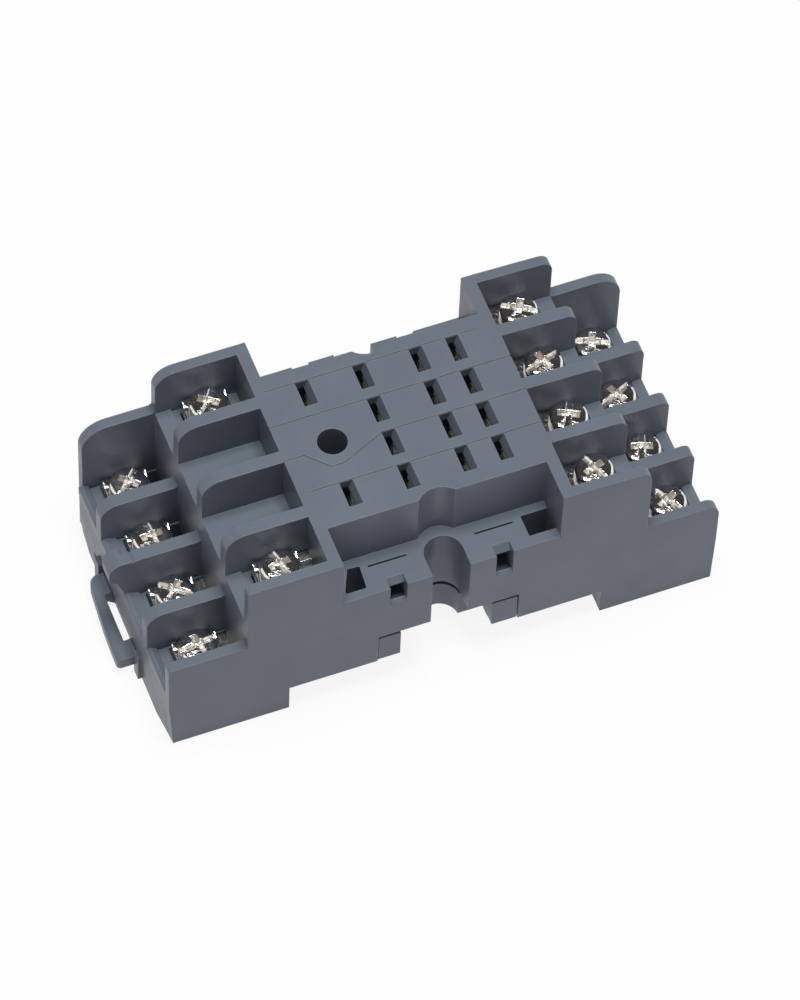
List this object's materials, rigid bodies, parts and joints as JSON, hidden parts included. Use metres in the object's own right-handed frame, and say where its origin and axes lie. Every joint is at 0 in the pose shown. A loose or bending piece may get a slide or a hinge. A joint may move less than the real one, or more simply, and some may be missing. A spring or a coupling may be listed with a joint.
{
  "type": "relay socket",
  "caption": "Screw-terminal socket for a plug-in miniature relay: stepped moulded housing with barrier walls and blade slots, for rail or panel mounting.",
  "frame": {"origin": "centre of the rail seat, on the underside of the base cover midway between the feet", "axes": "+X across the rail, away from the latch tab; +Y along the rail, towards the taller end wall; +Z out of the rail, towards the relay"},
  "size_m": [0.0635, 0.0296, 0.0245],
  "materials": {
    "housing_moulding": "fine satin moulding, blue-grey",
    "cover_moulding": "fine satin moulding, blue-grey",
    "latch_moulding": "fine satin moulding, blue-grey",
    "spring_steel": "bright folded strip",
    "contact_strip": "nickel-plated copper alloy",
    "clamp_plate": "bright nickel plate",
    "terminal_screw": "bright nickel plate"
  },
  "bodies": {
    "base": {"housing": "housing_moulding", "base_cover": "cover_moulding", "latch_spring": "spring_steel", "terminal_01": "contact_strip", "terminal_02": "contact_strip", "terminal_03": "contact_strip", "terminal_04": "contact_strip", "terminal_05": "contact_strip", "terminal_06": "contact_strip", "terminal_07": "contact_strip", "terminal_08": "contact_strip", "terminal_09": "contact_strip", "terminal_10": "contact_strip", "terminal_11": "contact_strip", "terminal_12": "contact_strip", "terminal_13": "contact_strip", "terminal_14": "contact_strip"},
    "latch": {"din_latch": "latch_moulding"},
    "clamp_01": {"clamp_01": "clamp_plate"},
    "screw_01": {"screw_01": "terminal_screw"},
    "clamp_02": {"clamp_02": "clamp_plate"},
    "screw_02": {"screw_02": "terminal_screw"},
    "clamp_03": {"clamp_03": "clamp_plate"},
    "screw_03": {"screw_03": "terminal_screw"},
    "clamp_04": {"clamp_04": "clamp_plate"},
    "screw_04": {"screw_04": "terminal_screw"},
    "clamp_05": {"clamp_05": "clamp_plate"},
    "screw_05": {"screw_05": "terminal_screw"},
    "clamp_06": {"clamp_06": "clamp_plate"},
    "screw_06": {"screw_06": "terminal_screw"},
    "clamp_07": {"clamp_07": "clamp_plate"},
    "screw_07": {"screw_07": "terminal_screw"},
    "clamp_08": {"clamp_08": "clamp_plate"},
    "screw_08": {"screw_08": "terminal_screw"},
    "clamp_09": {"clamp_09": "clamp_plate"},
    "screw_09": {"screw_09": "terminal_screw"},
    "clamp_10": {"clamp_10": "clamp_plate"},
    "screw_10": {"screw_10": "terminal_screw"},
    "clamp_11": {"clamp_11": "clamp_plate"},
    "screw_11": {"screw_11": "terminal_screw"},
    "clamp_12": {"clamp_12": "clamp_plate"},
    "screw_12": {"screw_12": "terminal_screw"},
    "clamp_13": {"clamp_13": "clamp_plate"},
    "screw_13": {"screw_13": "terminal_screw"},
    "clamp_14": {"clamp_14": "clamp_plate"},
    "screw_14": {"screw_14": "terminal_screw"}
  },
  "joints": [
    {"name": "latch_slide", "type": "slide", "parent": "base", "child": "latch", "axis": [-1, 0, 0], "range_m": [0, 0.0025], "stiffness_N_per_m": 400, "springref_m": -0.0025, "deforming": ["latch_spring"]},
    {"name": "screw_turn_01", "type": "hinge", "parent": "clamp_01", "child": "screw_01", "pos_m": [-0.0263, 0.01073, 0.00525], "axis": [0, 0, 1], "range_deg": [0, 1441]},
    {"name": "clamp_lift_01", "type": "slide", "parent": "base", "child": "clamp_01", "axis": [0, 0, 1], "range_m": [0, 0.002]},
    {"name": "screw_turn_02", "type": "hinge", "parent": "clamp_02", "child": "screw_02", "pos_m": [-0.0263, 0.00358, 0.00525], "axis": [0, 0, 1], "range_deg": [0, 1441]},
    {"name": "clamp_lift_02", "type": "slide", "parent": "base", "child": "clamp_02", "axis": [0, 0, 1], "range_m": [0, 0.002]},
    {"name": "screw_turn_03", "type": "hinge", "parent": "clamp_03", "child": "screw_03", "pos_m": [-0.0263, -0.00358, 0.00525], "axis": [0, 0, 1], "range_deg": [0, 1441]},
    {"name": "clamp_lift_03", "type": "slide", "parent": "base", "child": "clamp_03", "axis": [0, 0, 1], "range_m": [0, 0.002]},
    {"name": "screw_turn_04", "type": "hinge", "parent": "clamp_04", "child": "screw_04", "pos_m": [-0.0263, -0.01073, 0.00525], "axis": [0, 0, 1], "range_deg": [0, 1441]},
    {"name": "clamp_lift_04", "type": "slide", "parent": "base", "child": "clamp_04", "axis": [0, 0, 1], "range_m": [0, 0.002]},
    {"name": "screw_turn_05", "type": "hinge", "parent": "clamp_05", "child": "screw_05", "pos_m": [-0.0174, 0.01073, 0.01595], "axis": [0, 0, 1], "range_deg": [0, 1441]},
    {"name": "clamp_lift_05", "type": "slide", "parent": "base", "child": "clamp_05", "axis": [0, 0, 1], "range_m": [0, 0.002]},
    {"name": "screw_turn_06", "type": "hinge", "parent": "clamp_06", "child": "screw_06", "pos_m": [-0.0174, -0.01073, 0.01595], "axis": [0, 0, 1], "range_deg": [0, 1441]},
    {"name": "clamp_lift_06", "type": "slide", "parent": "base", "child": "clamp_06", "axis": [0, 0, 1], "range_m": [0, 0.002]},
    {"name": "screw_turn_07", "type": "hinge", "parent": "clamp_07", "child": "screw_07", "pos_m": [0.0174, 0.01073, 0.01595], "axis": [0, 0, 1], "range_deg": [0, 1441]},
    {"name": "clamp_lift_07", "type": "slide", "parent": "base", "child": "clamp_07", "axis": [0, 0, 1], "range_m": [0, 0.002]},
    {"name": "screw_turn_08", "type": "hinge", "parent": "clamp_08", "child": "screw_08", "pos_m": [0.0174, 0.00358, 0.01595], "axis": [0, 0, 1], "range_deg": [0, 1441]},
    {"name": "clamp_lift_08", "type": "slide", "parent": "base", "child": "clamp_08", "axis": [0, 0, 1], "range_m": [0, 0.002]},
    {"name": "screw_turn_09", "type": "hinge", "parent": "clamp_09", "child": "screw_09", "pos_m": [0.0174, -0.00358, 0.01595], "axis": [0, 0, 1], "range_deg": [0, 1441]},
    {"name": "clamp_lift_09", "type": "slide", "parent": "base", "child": "clamp_09", "axis": [0, 0, 1], "range_m": [0, 0.002]},
    {"name": "screw_turn_10", "type": "hinge", "parent": "clamp_10", "child": "screw_10", "pos_m": [0.0174, -0.01073, 0.01595], "axis": [0, 0, 1], "range_deg": [0, 1441]},
    {"name": "clamp_lift_10", "type": "slide", "parent": "base", "child": "clamp_10", "axis": [0, 0, 1], "range_m": [0, 0.002]},
    {"name": "screw_turn_11", "type": "hinge", "parent": "clamp_11", "child": "screw_11", "pos_m": [0.0263, 0.01073, 0.00525], "axis": [0, 0, 1], "range_deg": [0, 1441]},
    {"name": "clamp_lift_11", "type": "slide", "parent": "base", "child": "clamp_11", "axis": [0, 0, 1], "range_m": [0, 0.002]},
    {"name": "screw_turn_12", "type": "hinge", "parent": "clamp_12", "child": "screw_12", "pos_m": [0.0263, 0.00358, 0.00525], "axis": [0, 0, 1], "range_deg": [0, 1441]},
    {"name": "clamp_lift_12", "type": "slide", "parent": "base", "child": "clamp_12", "axis": [0, 0, 1], "range_m": [0, 0.002]},
    {"name": "screw_turn_13", "type": "hinge", "parent": "clamp_13", "child": "screw_13", "pos_m": [0.0263, -0.00358, 0.00525], "axis": [0, 0, 1], "range_deg": [0, 1441]},
    {"name": "clamp_lift_13", "type": "slide", "parent": "base", "child": "clamp_13", "axis": [0, 0, 1], "range_m": [0, 0.002]},
    {"name": "screw_turn_14", "type": "hinge", "parent": "clamp_14", "child": "screw_14", "pos_m": [0.0263, -0.01073, 0.00525], "axis": [0, 0, 1], "range_deg": [0, 1441]},
    {"name": "clamp_lift_14", "type": "slide", "parent": "base", "child": "clamp_14", "axis": [0, 0, 1], "range_m": [0, 0.002]}
  ],
  "couplings": [
    {"joint": "screw_turn_01", "follows": "clamp_lift_01", "rad_per_m": 12566},
    {"joint": "screw_turn_02", "follows": "clamp_lift_02", "rad_per_m": 12566},
    {"joint": "screw_turn_03", "follows": "clamp_lift_03", "rad_per_m": 12566},
    {"joint": "screw_turn_04", "follows": "clamp_lift_04", "rad_per_m": 12566},
    {"joint": "screw_turn_05", "follows": "clamp_lift_05", "rad_per_m": 12566},
    {"joint": "screw_turn_06", "follows": "clamp_lift_06", "rad_per_m": 12566},
    {"joint": "screw_turn_07", "follows": "clamp_lift_07", "rad_per_m": 12566},
    {"joint": "screw_turn_08", "follows": "clamp_lift_08", "rad_per_m": 12566},
    {"joint": "screw_turn_09", "follows": "clamp_lift_09", "rad_per_m": 12566},
    {"joint": "screw_turn_10", "follows": "clamp_lift_10", "rad_per_m": 12566},
    {"joint": "screw_turn_11", "follows": "clamp_lift_11", "rad_per_m": 12566},
    {"joint": "screw_turn_12", "follows": "clamp_lift_12", "rad_per_m": 12566},
    {"joint": "screw_turn_13", "follows": "clamp_lift_13", "rad_per_m": 12566},
    {"joint": "screw_turn_14", "follows": "clamp_lift_14", "rad_per_m": 12566}
  ]
}
